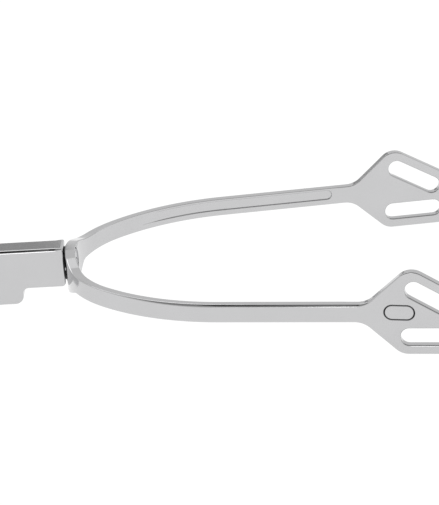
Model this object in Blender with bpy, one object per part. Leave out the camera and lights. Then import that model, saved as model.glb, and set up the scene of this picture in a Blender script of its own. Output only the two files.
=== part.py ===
"""Dressage spur with a swivelling hammer shank.

A forged U-shaped band goes round the boot heel. Each arm ends in a flared plate with two strap
slots. A rectangular shank with a hammer head is held to the back of the band by a pivot screw,
and turns about the spur's long axis against a friction washer and a disc spring.

The script works in millimetres around the heel: X runs from the heel to the toes, Y to the
wearer's left, Z up, with the middle of the arms at Z = 0. Every finished mesh is then moved so
that the origin is under the middle of the spur, and is written in metres.
"""
import math

import bmesh
import bpy
from mathutils import Matrix, Vector

# Band: plan of the U, in mm and degrees
HEEL_RADIUS = 28.7            # centreline of the band behind the heel
HEEL_SWEEP = 48.9             # angle that this arc turns on each side
SIDE_RADIUS = 52.1            # easier arc that leads into the straight arms
TOE_SPLAY = 7.0               # angle between each straight arm and the long axis
TOE_STATION = 117.2           # length of the centreline from the heel to the end of a plate

# Band: section and outline
ARM_HEIGHT = 4.65
BAND_THICKNESS = 2.05         # arms and plates
BAND_SHIFT = 0.225            # outwards, from the plan curve to the middle of an arm
HEEL_OUTER = 1.55             # from the plan curve to the two faces behind the heel
HEEL_INNER = 1.05
HEEL_TAPER_START = 8.0        # stations between which the band thins down to the arms
HEEL_TAPER_END = 25.0
PAD_HEIGHT = 9.8              # taller middle of the band, where the shank sits
PAD_HALF_WIDTH = 4.0          # where its upper edge starts to come down
PAD_SHOULDER = 11.9           # where it has come down to the arm
PAD_LOWER_HALF_WIDTH = 5.6    # the same two for its lower edge
PAD_LOWER_SHOULDER = 10.0
PLATE_TOP = 10.7              # highest point of a plate
PLATE_BOTTOM = 10.7           # depth of a plate's lower edge
FLARE_ANGLE_TOP = 42.0        # slope of the edge that rises from the arm
FLARE_ANGLE_BOTTOM = 43.2
PLATE_FALL = 30.5             # slope of the upper edge towards the toe, along the upper slot
FLARE_START_TOP = 91.52       # stations where the plate's edges leave the arm
FLARE_START_BOTTOM = 90.71
APEX_RADIUS = 4.4
PAD_FILLET = 4.0
FLARE_FILLET = 5.5
TOE_RADIUS = 3.2

# Strap slots, two in each plate
SLOT_LENGTH = 15.2
SLOT_WIDTH = 4.3
UPPER_SLOT_CENTRE = (107.7, 3.2)
LOWER_SLOT_CENTRE = (107.1, -6.15)

# Relief groove along the inner face of each arm
GROOVE_WIDTH = 2.5
GROOVE_DEPTH = 0.35
GROOVE_HEIGHT = 0.5           # its middle, above the middle of the arm
GROOVE_START = 28.0
GROOVE_END = 85.1

# Shank and swivel
SHANK_WIDTH = 6.5
SHANK_HEIGHT = 10.45
SHANK_LENGTH = 23.45
HEAD_LENGTH = 12.35
HEAD_DROP = 4.25              # how far the hammer head hangs below the neck
HEAD_CORNER_RADIUS = 2.2
FRONT_TOP_RADIUS = 0.5
FRONT_BOTTOM_RADIUS = 0.9
NECK_FILLET = 1.5
SWIVEL_HEIGHT = 0.55          # axis of the shank and the swivel, above the middle of the arm
SEAT_RADIUS = 4.3             # flat land on the band for the friction washer
WASHER_RADIUS = 4.25
WASHER_THICKNESS = 0.2
WASHER_GAP = 0.05
BUSH_OUTER_RADIUS = 2.6
JOURNAL_RADIUS = 2.0
RUNNING_CLEARANCE = 0.08
PRESS_CLEARANCE = 0.05
COUNTERBORE_RADIUS = 3.8
COUNTERBORE_DEPTH = 1.2
SCREW_HEAD_RADIUS = 3.6
SCREW_HEAD_THICKNESS = 0.75
SCREW_SOCKET = 2.5            # across flats
SCREW_SOCKET_DEPTH = 2.0
SCREW_REACH = 9.0             # length of the screw inside the shank
THREAD_CLEARANCE = 0.12
SPRING_THICKNESS = 0.25
SPRING_RISE = 0.15
GRUB_RADIUS = 1.45
GRUB_SOCKET = 1.5
GRUB_LENGTH = 2.4
GRUB_STATION = 5.0            # behind the shank's front face

MM = 0.001
BEND_STEP = 2.4               # spacing of the cuts that let the blank bend
ARC_STEP = math.radians(15.0)
ROUND_SIDES = 48

ARM_HALF = ARM_HEIGHT / 2
BAND_HALF = BAND_THICKNESS / 2
SHANK_FRONT = -(HEEL_OUTER + WASHER_THICKNESS + 2 * WASHER_GAP)
SHANK_BACK = SHANK_FRONT - SHANK_LENGTH
NECK_BACK = SHANK_BACK + HEAD_LENGTH
COUNTERBORE_FLOOR = HEEL_INNER - COUNTERBORE_DEPTH


# ---------------------------------------------------------------- plan of the band

def arc_end(radius, sweep):
    return radius * math.radians(sweep)


def band_frame(station):
    """Point on the centreline and its heading from +Y, for a station of 0 or more."""
    first = arc_end(HEEL_RADIUS, HEEL_SWEEP)
    final = 90.0 - TOE_SPLAY
    second = first + arc_end(SIDE_RADIUS, final - HEEL_SWEEP)
    turn = min(station, first) / HEEL_RADIUS
    x = HEEL_RADIUS * (1 - math.cos(turn))
    y = HEEL_RADIUS * math.sin(turn)
    heading = turn
    if station > first:
        heading = turn + (min(station, second) - first) / SIDE_RADIUS
        x += SIDE_RADIUS * (math.cos(turn) - math.cos(heading))
        y += SIDE_RADIUS * (math.sin(heading) - math.sin(turn))
    if station > second:
        x += (station - second) * math.sin(heading)
        y += (station - second) * math.cos(heading)
    return x, y, heading


def bend(point):
    """Take a point of the straight blank (station, outward offset, height) to the bent band."""
    x, y, heading = band_frame(abs(point.x))
    side = -1.0 if point.x < 0 else 1.0
    along = (abs(point.x) - HEEL_TAPER_START) / (HEEL_TAPER_END - HEEL_TAPER_START)
    heel = 1.0 - min(max(along, 0.0), 1.0)
    heel = heel * heel * (3.0 - 2.0 * heel)
    thickness = BAND_THICKNESS + heel * (HEEL_OUTER + HEEL_INNER - BAND_THICKNESS)
    middle = BAND_SHIFT + heel * ((HEEL_OUTER - HEEL_INNER) / 2 - BAND_SHIFT)
    offset = middle + point.y * thickness / BAND_THICKNESS
    x -= math.cos(heading) * offset
    y += math.sin(heading) * offset
    return Vector((x, side * y, point.z))


# ---------------------------------------------------------------- outlines

def rounded(corners):
    """Closed outline from (x, z, radius) corners, with an arc of that radius at each."""
    points = []
    for index, (x, z, radius) in enumerate(corners):
        here = Vector((x, z))
        before = Vector(corners[index - 1][:2])
        after = Vector(corners[(index + 1) % len(corners)][:2])
        if radius == 0:
            points.append(here)
            continue
        to_before = (before - here).normalized()
        to_after = (after - here).normalized()
        turn = math.pi - to_before.angle(to_after)
        start = here + to_before * radius * math.tan(turn / 2)
        centre = here + (to_before + to_after).normalized() * radius / math.cos(turn / 2)
        direction = 1.0 if to_before.x * to_after.y - to_before.y * to_after.x < 0 else -1.0
        steps = max(2, math.ceil(turn / ARC_STEP))
        spoke = start - centre
        for step in range(steps + 1):
            points.append(centre + Matrix.Rotation(direction * turn * step / steps, 2) @ spoke)
    return points


def stadium(centre, length, width, angle):
    """Round-ended slot outline, turned by an angle in radians."""
    points = []
    half = (length - width) / 2
    steps = 10
    for end in (1.0, -1.0):
        for step in range(steps + 1):
            around = math.pi * (step / steps - 0.5)
            points.append(Vector((end * (half + math.cos(around) * width / 2),
                                  end * math.sin(around) * width / 2)))
    turn = Matrix.Rotation(angle, 2)
    return [turn @ point + Vector(centre) for point in points]


def band_outline():
    """Edge of the straight blank, as (station, height) points from toe to toe."""
    rise = math.tan(math.radians(FLARE_ANGLE_TOP))
    drop = math.tan(math.radians(FLARE_ANGLE_BOTTOM))
    fall = math.tan(math.radians(PLATE_FALL))
    half_turn = math.radians(FLARE_ANGLE_TOP + PLATE_FALL) / 2
    lean = math.radians(FLARE_ANGLE_TOP - PLATE_FALL) / 2
    apex_z = PLATE_TOP + APEX_RADIUS * (math.cos(lean) / math.cos(half_turn) - 1)
    apex_s = FLARE_START_TOP + (apex_z - ARM_HALF) / rise
    toe_top = apex_z - (TOE_STATION - apex_s) * fall
    heel_corner = FLARE_START_BOTTOM + (PLATE_BOTTOM - ARM_HALF) / drop
    half = [
        (PAD_HALF_WIDTH, PAD_HEIGHT / 2, PAD_FILLET),
        (PAD_SHOULDER, ARM_HALF, PAD_FILLET),
        (FLARE_START_TOP, ARM_HALF, FLARE_FILLET),
        (apex_s, apex_z, APEX_RADIUS),
        (TOE_STATION, toe_top, TOE_RADIUS),
        (TOE_STATION, -PLATE_BOTTOM, TOE_RADIUS),
        (heel_corner, -PLATE_BOTTOM, APEX_RADIUS),
        (FLARE_START_BOTTOM, -ARM_HALF, FLARE_FILLET),
        (PAD_LOWER_SHOULDER, -ARM_HALF, PAD_FILLET),
        (PAD_LOWER_HALF_WIDTH, -PAD_HEIGHT / 2, PAD_FILLET),
    ]
    other = [(-station, height, radius) for station, height, radius in reversed(half)]
    return rounded(half + other)


# ---------------------------------------------------------------- mesh helpers

def solid_object(name, mesh_builder):
    mesh = bpy.data.meshes.new(name)
    mesh_builder.normal_update()
    bmesh.ops.recalc_face_normals(mesh_builder, faces=mesh_builder.faces)
    mesh_builder.to_mesh(mesh)
    mesh_builder.free()
    item = bpy.data.objects.new(name, mesh)
    bpy.context.scene.collection.objects.link(item)
    return item


def plate(name, outline, low, high):
    """Solid with an XZ outline, from Y = low to Y = high."""
    builder = bmesh.new()
    ring = [builder.verts.new((point.x, low, point.y)) for point in outline]
    face = builder.faces.new(ring)
    grown = bmesh.ops.extrude_face_region(builder, geom=[face])
    moved = [part for part in grown["geom"] if isinstance(part, bmesh.types.BMVert)]
    bmesh.ops.translate(builder, verts=moved, vec=(0, high - low, 0))
    return solid_object(name, builder)


def turned(name, profile, sides=ROUND_SIDES):
    """Solid of revolution about X from a closed profile of (x, radius) points."""
    builder = bmesh.new()
    rings = []
    for step in range(sides):
        angle = 2 * math.pi * step / sides
        ring = []
        for x, radius in profile:
            ring.append(builder.verts.new((x, radius * math.sin(angle), radius * math.cos(angle))))
        rings.append(ring)
    for step in range(sides):
        near = rings[step]
        far = rings[(step + 1) % sides]
        for index in range(len(profile)):
            following = (index + 1) % len(profile)
            builder.faces.new((near[index], near[following], far[following], far[index]))
    bmesh.ops.remove_doubles(builder, verts=builder.verts, dist=1e-5)
    bmesh.ops.dissolve_degenerate(builder, edges=builder.edges, dist=1e-5)
    return solid_object(name, builder)


def rod(name, radius, start, end, sides=ROUND_SIDES):
    """Round rod along X."""
    return turned(name, [(start, 0.0), (start, radius), (end, radius), (end, 0.0)], sides)


def turn_upright(item, x):
    """Stand a rod that was made along X on the Z axis at this X."""
    item.data.transform(Matrix.Translation((x, 0, 0)) @ Matrix.Rotation(-math.pi / 2, 4, "Y"))


def hex_rod(name, across_flats, start, end):
    return rod(name, across_flats / math.sqrt(3), start, end, 6)


def apply_booleans(item, steps):
    """Run the (operation, tool) steps in turn and keep only the finished mesh."""
    for operation, tool in steps:
        modifier = item.modifiers.new(operation.title(), "BOOLEAN")
        modifier.operation = operation
        modifier.solver = "EXACT"
        modifier.object = tool
    bpy.context.view_layer.update()
    scene_state = bpy.context.evaluated_depsgraph_get()
    finished = bpy.data.meshes.new_from_object(item.evaluated_get(scene_state))
    item.modifiers.clear()
    item.data = finished
    for _, tool in steps:
        bpy.data.objects.remove(tool)
    return item


def material(name, colour, roughness, metallic):
    finish = bpy.data.materials.new(name)
    finish.use_nodes = True
    shader = finish.node_tree.nodes["Principled BSDF"]
    shader.inputs["Base Color"].default_value = (*colour, 1.0)
    shader.inputs["Roughness"].default_value = roughness
    shader.inputs["Metallic"].default_value = metallic
    return finish


def steel(name, colour, roughness):
    return material(name, colour, roughness, 1.0)


def finish_part(item, name, finish):
    """Name the piece, give it its material and shade its round faces smooth."""
    item.name = name
    item.data.name = name
    item.data.materials.clear()
    item.data.materials.append(finish)
    item.data.shade_smooth()
    item.data.set_sharp_from_angle(angle=math.radians(30))
    return item


# ---------------------------------------------------------------- pieces

def make_heel_band():
    """Blank with slots and grooves, bent to the U, then drilled for the swivel."""
    blank = plate("blank", band_outline(), -BAND_HALF, BAND_HALF)
    tilt = -math.radians(PLATE_FALL)
    slots = []
    for side in (1, -1):
        for centre, angle in ((UPPER_SLOT_CENTRE, tilt), (LOWER_SLOT_CENTRE, 0.0)):
            place = (side * centre[0], centre[1])
            outline = stadium(place, SLOT_LENGTH, SLOT_WIDTH, side * angle)
            slots.append(("DIFFERENCE", plate("slot", outline, -2 * BAND_HALF, 2 * BAND_HALF)))
        middle = (side * (GROOVE_START + GROOVE_END) / 2, GROOVE_HEIGHT)
        outline = stadium(middle, GROOVE_END - GROOVE_START, GROOVE_WIDTH, 0.0)
        groove = plate("groove", outline, -2 * BAND_HALF, GROOVE_DEPTH - BAND_HALF)
        slots.append(("DIFFERENCE", groove))
    apply_booleans(blank, slots)

    builder = bmesh.new()
    builder.from_mesh(blank.data)
    bend_end = arc_end(HEEL_RADIUS, HEEL_SWEEP) + arc_end(SIDE_RADIUS, 90.0 - TOE_SPLAY - HEEL_SWEEP)
    cuts = math.ceil(bend_end / BEND_STEP)
    for index in range(-cuts, cuts + 1):
        everything = builder.verts[:] + builder.edges[:] + builder.faces[:]
        bmesh.ops.bisect_plane(builder, geom=everything, dist=1e-4, plane_no=(1, 0, 0),
                               plane_co=(bend_end * index / cuts, 0, 0))
    bmesh.ops.triangulate(builder, faces=builder.faces)
    for vertex in builder.verts:
        vertex.co = bend(vertex.co)
    builder.to_mesh(blank.data)
    builder.free()

    seat = rod("seat", SEAT_RADIUS, -HEEL_OUTER, 0.0)
    bore = rod("bore", BUSH_OUTER_RADIUS, -2 * BAND_THICKNESS, 2 * BAND_THICKNESS)
    counterbore = rod("counterbore", COUNTERBORE_RADIUS, COUNTERBORE_FLOOR, 2 * BAND_THICKNESS)
    for tool in (seat, bore, counterbore):
        tool.data.transform(Matrix.Translation((0, 0, SWIVEL_HEIGHT)))
    return apply_booleans(blank, [("UNION", seat), ("DIFFERENCE", bore), ("DIFFERENCE", counterbore)])


def make_shank():
    """Neck and hammer head, with the blind screw hole and the grub screw's hole."""
    half = SHANK_HEIGHT / 2
    outline = rounded([
        (SHANK_FRONT, half, FRONT_TOP_RADIUS),
        (SHANK_FRONT, -half, FRONT_BOTTOM_RADIUS),
        (NECK_BACK, -half, NECK_FILLET),
        (NECK_BACK, -half - HEAD_DROP, HEAD_CORNER_RADIUS),
        (SHANK_BACK, -half - HEAD_DROP, HEAD_CORNER_RADIUS),
        (SHANK_BACK, half, NECK_FILLET),
    ])
    shank = plate("shank", outline, -SHANK_WIDTH / 2, SHANK_WIDTH / 2)
    hole = rod("hole", JOURNAL_RADIUS + THREAD_CLEARANCE, SHANK_FRONT - SCREW_REACH - 1, 0.0)
    side_hole = rod("side_hole", GRUB_RADIUS + THREAD_CLEARANCE, -SHANK_HEIGHT, 0.0, 32)
    turn_upright(side_hole, SHANK_FRONT - GRUB_STATION)
    return apply_booleans(shank, [("DIFFERENCE", hole), ("DIFFERENCE", side_hole)])


def make_friction_washer():
    back = SHANK_FRONT + WASHER_GAP
    front = back + WASHER_THICKNESS
    inner = JOURNAL_RADIUS + 2 * RUNNING_CLEARANCE
    return turned("washer", [(back, inner), (back, WASHER_RADIUS), (front, WASHER_RADIUS), (front, inner)])


def make_pivot_bush():
    inner = JOURNAL_RADIUS + RUNNING_CLEARANCE
    outer = BUSH_OUTER_RADIUS - PRESS_CLEARANCE
    back = -HEEL_OUTER + PRESS_CLEARANCE
    front = COUNTERBORE_FLOOR - PRESS_CLEARANCE
    return turned("bush", [(back, inner), (back, outer), (front, outer), (front, inner)])


def make_disc_spring():
    """Conical washer whose rim rests on the counterbore's floor."""
    inner = JOURNAL_RADIUS + 2 * RUNNING_CLEARANCE
    outer = COUNTERBORE_RADIUS - 2 * RUNNING_CLEARANCE
    rim = COUNTERBORE_FLOOR + PRESS_CLEARANCE
    crown = rim + SPRING_RISE
    return turned("spring", [(crown, inner), (rim, outer), (rim + SPRING_THICKNESS, outer),
                             (crown + SPRING_THICKNESS, inner)])


def make_pivot_screw():
    """Low-head socket screw; its plain journal runs in the bush."""
    underside = HEEL_INNER - SCREW_HEAD_THICKNESS + PRESS_CLEARANCE
    top = underside + SCREW_HEAD_THICKNESS
    tip = SHANK_FRONT - SCREW_REACH
    chamfer = 0.2
    screw = turned("screw", [
        (top, 0.0), (top, SCREW_HEAD_RADIUS - chamfer), (top - chamfer, SCREW_HEAD_RADIUS),
        (underside, SCREW_HEAD_RADIUS), (underside, JOURNAL_RADIUS), (tip + chamfer, JOURNAL_RADIUS),
        (tip, JOURNAL_RADIUS - chamfer), (tip, 0.0)])
    socket = hex_rod("socket", SCREW_SOCKET, top - SCREW_SOCKET_DEPTH, top + 1)
    return apply_booleans(screw, [("DIFFERENCE", socket)])


def make_grub_screw():
    """Cup-point screw that locks the pivot screw, with its socket underneath."""
    low = -SHANK_HEIGHT / 2 + 0.25
    high = low + GRUB_LENGTH
    chamfer = 0.3
    grub = turned("grub", [(low, 0.0), (low, GRUB_RADIUS), (high - chamfer, GRUB_RADIUS),
                           (high, GRUB_RADIUS - chamfer), (high, 0.0)], 32)
    socket = hex_rod("socket", GRUB_SOCKET, low - 1, low + GRUB_LENGTH / 2)
    apply_booleans(grub, [("DIFFERENCE", socket)])
    turn_upright(grub, SHANK_FRONT - GRUB_STATION)
    return grub


# ---------------------------------------------------------------- assembly

for old in list(bpy.data.objects):
    bpy.data.objects.remove(old)

polished = (0.60, 0.60, 0.61)
bright = (0.52, 0.52, 0.53)
black = (0.02, 0.02, 0.02)
bronze = (0.55, 0.38, 0.16)
band = finish_part(make_heel_band(), "heel_band", steel("polished_band", polished, 0.18))
swivel_pieces = [
    finish_part(make_shank(), "shank", steel("polished_shank", polished, 0.16)),
    finish_part(make_friction_washer(), "friction_washer", material("acetal", black, 0.45, 0.0)),
    finish_part(make_pivot_bush(), "pivot_bush", steel("bearing_bronze", bronze, 0.35)),
    finish_part(make_disc_spring(), "disc_spring", steel("spring_steel", (0.35, 0.35, 0.36), 0.30)),
    finish_part(make_pivot_screw(), "pivot_screw", steel("screw_steel", bright, 0.28)),
    finish_part(make_grub_screw(), "grub_screw", steel("grub_steel", bright, 0.32)),
]

front = bend(Vector((TOE_STATION, -BAND_HALF, 0.0))).x
middle = (front + SHANK_BACK) / 2
to_frame = Matrix.Scale(MM, 4) @ Matrix.Translation((-middle, 0.0, PLATE_BOTTOM))
raised = to_frame @ Matrix.Translation((0.0, 0.0, SWIVEL_HEIGHT))
band.data.transform(to_frame)
for piece in swivel_pieces:
    piece.data.transform(raised)

swivel = bpy.data.objects.new("swivel_axis", None)
swivel.location = raised @ Vector((SHANK_FRONT, 0.0, 0.0))
bpy.context.scene.collection.objects.link(swivel)
for piece in swivel_pieces:
    if piece.name in ("shank", "pivot_screw", "grub_screw"):
        piece.data.transform(Matrix.Translation(-swivel.location))
        piece.parent = swivel
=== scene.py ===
import math

import bmesh
import bpy
from mathutils import Matrix, Vector
from mathutils.geometry import delaunay_2d_cdt
from mathutils.kdtree import KDTree


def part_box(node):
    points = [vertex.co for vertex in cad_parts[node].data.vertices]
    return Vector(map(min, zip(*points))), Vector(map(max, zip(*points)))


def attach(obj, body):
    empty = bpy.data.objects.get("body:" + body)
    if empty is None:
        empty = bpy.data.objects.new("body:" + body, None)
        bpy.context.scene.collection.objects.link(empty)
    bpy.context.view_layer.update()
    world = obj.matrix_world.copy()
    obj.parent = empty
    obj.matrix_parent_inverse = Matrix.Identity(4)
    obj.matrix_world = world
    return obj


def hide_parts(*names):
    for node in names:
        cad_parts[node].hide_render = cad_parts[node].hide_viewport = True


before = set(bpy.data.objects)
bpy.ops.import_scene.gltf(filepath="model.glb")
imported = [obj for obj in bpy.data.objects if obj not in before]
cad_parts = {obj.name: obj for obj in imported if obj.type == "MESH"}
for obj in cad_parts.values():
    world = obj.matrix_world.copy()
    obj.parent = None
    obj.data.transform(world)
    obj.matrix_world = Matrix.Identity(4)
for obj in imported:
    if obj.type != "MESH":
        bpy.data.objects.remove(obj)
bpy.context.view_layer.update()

# ================================================================= heel band
# The band round the boot heel is one drop forging of stainless steel. Its flat blank is pressed
# with the strap slots and the relief grooves, bent to a U and buffed bright, and a flat land is
# faced on the back of it for the swivel. Everything else is fixed to this piece.

MM = 0.001
HEEL_RADIUS = 28.7                  # sizes in millimetres and degrees
HEEL_SWEEP = 48.9
SIDE_RADIUS = 52.1
TOE_SPLAY = 7.0
TOE_STATION = 117.2
ARM_HALF_HEIGHT = 2.325
ARM_OUTER = 1.25                    # from the plan curve to the outer and inner faces
ARM_INNER = 0.8
HEEL_OUTER = 1.55                   # the same behind the heel, where the band is thicker
HEEL_INNER = 1.05
TAPER_START = 8.0                   # stations between which it thins down
TAPER_END = 25.0
PAD_HALF_HEIGHT = 4.9
PAD_FILLET = 4.0
PAD_TOP_FILLET = 21.0               # blended by hand, so its shoulder runs down in one soft S
PAD_TOP_CORNERS = (4.0, 11.9)       # stations of the pad's shoulder and of its foot on the arm
PAD_LOWER_OUTER_CORNERS = (6.5, 13.0)
PAD_LOWER_INNER_CORNERS = (4.8, 8.8)
PLATE_HALF_HEIGHT = 10.7
FLARE_ANGLE_TOP = 42.0
FLARE_ANGLE_BOTTOM = 43.2
FLARE_START_TOP = 91.52
FLARE_START_BOTTOM = 90.71
FLARE_FILLET = 5.5
PLATE_FALL = 30.5
APEX_RADIUS = 4.4
TOE_RADIUS = 3.2
SLOT_LENGTH = 15.2
SLOT_WIDTH = 4.3
UPPER_SLOT = (107.7, 3.2)
LOWER_SLOT = (107.1, -6.15)
GROOVE_START = 28.0
GROOVE_FULL = 50.0
GROOVE_END = 85.1
GROOVE_WIDTH = 2.55
GROOVE_DEPTH = 0.35
GROOVE_HEIGHT = 0.485
GROOVE_BLEND = 0.11
EDGE_RADIUS = 0.3                   # buffed edge all round
RIGHT_EDGE_RADIUS = 0.8              # the right arm is buffed rounder along its upper outer edge
RIGHT_EDGE_START = 25.0
RIGHT_EDGE_FULL = 50.0
RIGHT_EDGE_END = 87.0
RIGHT_EDGE_FADE = 9.0
SLOT_EDGE_RADIUS = 0.42
INNER_EDGE_RADIUS = 0.22
LAND_EDGE_RADIUS = 0.14             # narrow land above the groove
LAND_FADE_IN = 6.0
LAND_FADE_OUT = 3.0
HOLDING_GAP = 0.05
SWIVEL_HEIGHT = 0.55
LAND_RADIUS = 4.3
LAND_BLEND = 0.4
BORE_RADIUS = 2.6
BORE_CHAMFER = 0.15
COUNTERBORE_CHAMFER = 0.05
COUNTERBORE_RADIUS = 3.8
COUNTERBORE_FLOOR = -0.15
STAMP_PLACE = (-99.4, 0.25)
STAMP_LENGTH = 7.2                  # middle of the pressed line round an empty frame
STAMP_WIDTH = 3.7
STAMP_TILT = 2.0
STAMP_DEPTH = 0.24
STAMP_LINE = 0.42
STAMP_SHADE_START = 0.02                  # depths in the line between which the painted shade sets in
STAMP_SHADE_FULL = 0.12
STAMP_SHADE_SHARE = 0.8


def eased(value):
    """Smooth rise from 0 to 1 as the value goes from 0 to 1."""
    value = min(max(value, 0.0), 1.0)
    return value * value * (3 - 2 * value)


def outline_of(corners, parts=None, spacing=1.0, arc_steps=9):
    """Closed outline with an arc at each (x, z, radius) corner, and the parts of each straight."""
    arcs = []
    for index, (x, z, radius) in enumerate(corners):
        here = Vector((x, z))
        to_before = (Vector(corners[index - 1][:2]) - here).normalized()
        to_after = (Vector(corners[(index + 1) % len(corners)][:2]) - here).normalized()
        turn = math.pi - to_before.angle(to_after)
        start = here + to_before * radius * math.tan(turn / 2)
        centre = here + (to_before + to_after).normalized() * radius / math.cos(turn / 2)
        sense = 1.0 if to_before.cross(to_after) < 0 else -1.0
        spoke = start - centre
        turns = [sense * turn * step / arc_steps for step in range(arc_steps + 1)]
        arcs.append([centre + Matrix.Rotation(angle, 2) @ spoke for angle in turns])
    points = []
    counts = []
    for index, arc in enumerate(arcs):
        after = arcs[(index + 1) % len(arcs)][0]
        gap = after - arc[-1]
        hold = gap.normalized() * HOLDING_GAP
        count = parts[index] if parts else max(1, round(gap.length / spacing))
        counts.append(count)
        points.extend(arc)
        points.append(arc[-1] + hold)
        points.extend(arc[-1] + gap * step / count for step in range(1, count))
        points.append(after - hold)
    return points, counts


def stadium(centre, length, width, tilt=0.0, parts=1, steps=14):
    """Round-ended slot outline, tilted by an angle in degrees."""
    half = (length - width) / 2
    points = []
    for end in (1.0, -1.0):
        for step in range(steps + 1):
            around = math.pi * (step / steps - 0.5)
            reach = half + math.cos(around) * width / 2
            points.append(Vector((end * reach, end * math.sin(around) * width / 2)))
        for step in range(1, parts):
            along = half * (1 - 2 * step / parts)
            points.append(Vector((end * along, end * width / 2)))
    turn = Matrix.Rotation(math.radians(tilt), 2)
    return [turn @ point + Vector(centre) for point in points]


def moved_in(outline, distances):
    """Each point of a closed outline moved towards its inside by its own distance."""
    area = sum(outline[i - 1].cross(outline[i]) for i in range(len(outline)))
    sense = 1.0 if area > 0 else -1.0
    moved = []
    for index, point in enumerate(outline):
        before = (point - outline[index - 1]).normalized()
        after = (outline[(index + 1) % len(outline)] - point).normalized()
        along = (before + after).normalized()
        inward = Vector((-along.y, along.x)) * sense
        moved.append(point + inward * distances[index])
    return moved


def is_inside(place, loop):
    """Whether a point is inside a closed loop of (x, z) points."""
    inside = False
    x, z = place
    for index in range(len(loop)):
        ax, az = loop[index - 1]
        bx, bz = loop[index]
        if (az > z) != (bz > z) and x < ax + (z - az) * (bx - ax) / (bz - az):
            inside = not inside
    return inside


class Plate:
    """Closed mesh between two faces that share an outline, in (x, offset, z)."""

    def __init__(self):
        self.points = []
        self.facets = []

    def loop(self, outline, offsets):
        first = len(self.points)
        self.points.extend((p[0], offset, p[1]) for p, offset in zip(outline, offsets))
        return list(range(first, len(self.points)))

    def join(self, loop, following):
        for index in range(len(loop)):
            after = (index + 1) % len(loop)
            self.facets.append((loop[index], loop[after], following[after], following[index]))

    def rim(self, outline, radii, surface, into=1.0, steps=5):
        """Rounded edge from the wall on to a face; surface(x, z, sink) gives the offset."""
        loops = []
        shares = [(1 - math.cos(math.pi / 2 * i / steps), 1 - math.sin(math.pi / 2 * i / steps), 0)
                  for i in range(steps + 1)]
        shares.append((1.0, 0.0, HOLDING_GAP))
        for across, down, gap in shares:
            path = moved_in(outline, [into * (radius * across + gap) for radius in radii])
            offsets = [surface(p[0], p[1], radius * down) for p, radius in zip(path, radii)]
            loops.append(self.loop(path, offsets))
        for loop, following in zip(loops, loops[1:]):
            self.join(loop, following)
        return loops[0], loops[-1]

    def wall(self, outer_loop, inner_loop):
        """Wall between two rims, held straight by a narrow strip beside each."""
        held = []
        for loop, other in ((outer_loop, inner_loop), (inner_loop, outer_loop)):
            ring = []
            for index, across in zip(loop, other):
                here, there = Vector(self.points[index]), Vector(self.points[across])
                ring.append(len(self.points))
                self.points.append(tuple(here + (there - here).normalized() * HOLDING_GAP))
            held.append(ring)
        self.join(outer_loop, held[0])
        self.join(held[0], held[1])
        self.join(held[1], inner_loop)

    def flat(self, loop):
        """The (x, z) places of a loop's points."""
        return [(self.points[i][0], self.points[i][2]) for i in loop]

    def fill(self, edge, holes, lines, spots, surface, reach=0.3):
        """Face inside an edge loop, round its holes, along its lines and through its spots."""
        used = [index for loop in [edge, *holes, *lines] for index in loop]
        tree = KDTree(len(used))
        for index in used:
            tree.insert((self.points[index][0], self.points[index][2], 0), index)
        tree.balance()
        border = self.flat(edge)
        openings = [self.flat(loop) for loop in holes]
        for spot in spots:
            near = tree.find((spot[0], spot[1], 0))[2]
            if near < reach or not is_inside(spot, border):
                continue
            if any(is_inside(spot, opening) for opening in openings):
                continue
            used.append(len(self.points))
            self.points.append((spot[0], surface(spot[0], spot[1], 0.0), spot[1]))
        place = {index: number for number, index in enumerate(used)}
        edges = []
        for loop in [edge, *holes, *lines]:
            edges.extend((place[loop[i - 1]], place[loop[i]]) for i in range(len(loop)))
        flat_points = [Vector(place_of) for place_of in self.flat(used)]
        result = delaunay_2d_cdt(flat_points, edges, [], 1, 1e-7, True)
        first_of = [used[origins[0]] for origins in result[3]]
        rings = [set(loop) for loop in holes]
        outside_ring = set(edge)
        for triangle in result[2]:
            corners = [first_of[i] for i in triangle]
            if any(all(corner in ring for corner in corners) for ring in rings):
                continue
            if all(corner in outside_ring for corner in corners):
                middle = sum((Vector(spot) for spot in self.flat(corners)), Vector((0, 0))) / 3
                if not is_inside(middle, border):
                    continue
            self.facets.append(tuple(corners))

    def build(self, name):
        mesh = bpy.data.meshes.new(name)
        mesh.from_pydata(self.points, [], self.facets)
        builder = bmesh.new()
        builder.from_mesh(mesh)
        bmesh.ops.recalc_face_normals(builder, faces=builder.faces)
        builder.to_mesh(mesh)
        builder.free()
        piece = bpy.data.objects.new(name, mesh)
        bpy.context.scene.collection.objects.link(piece)
        return piece


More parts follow.
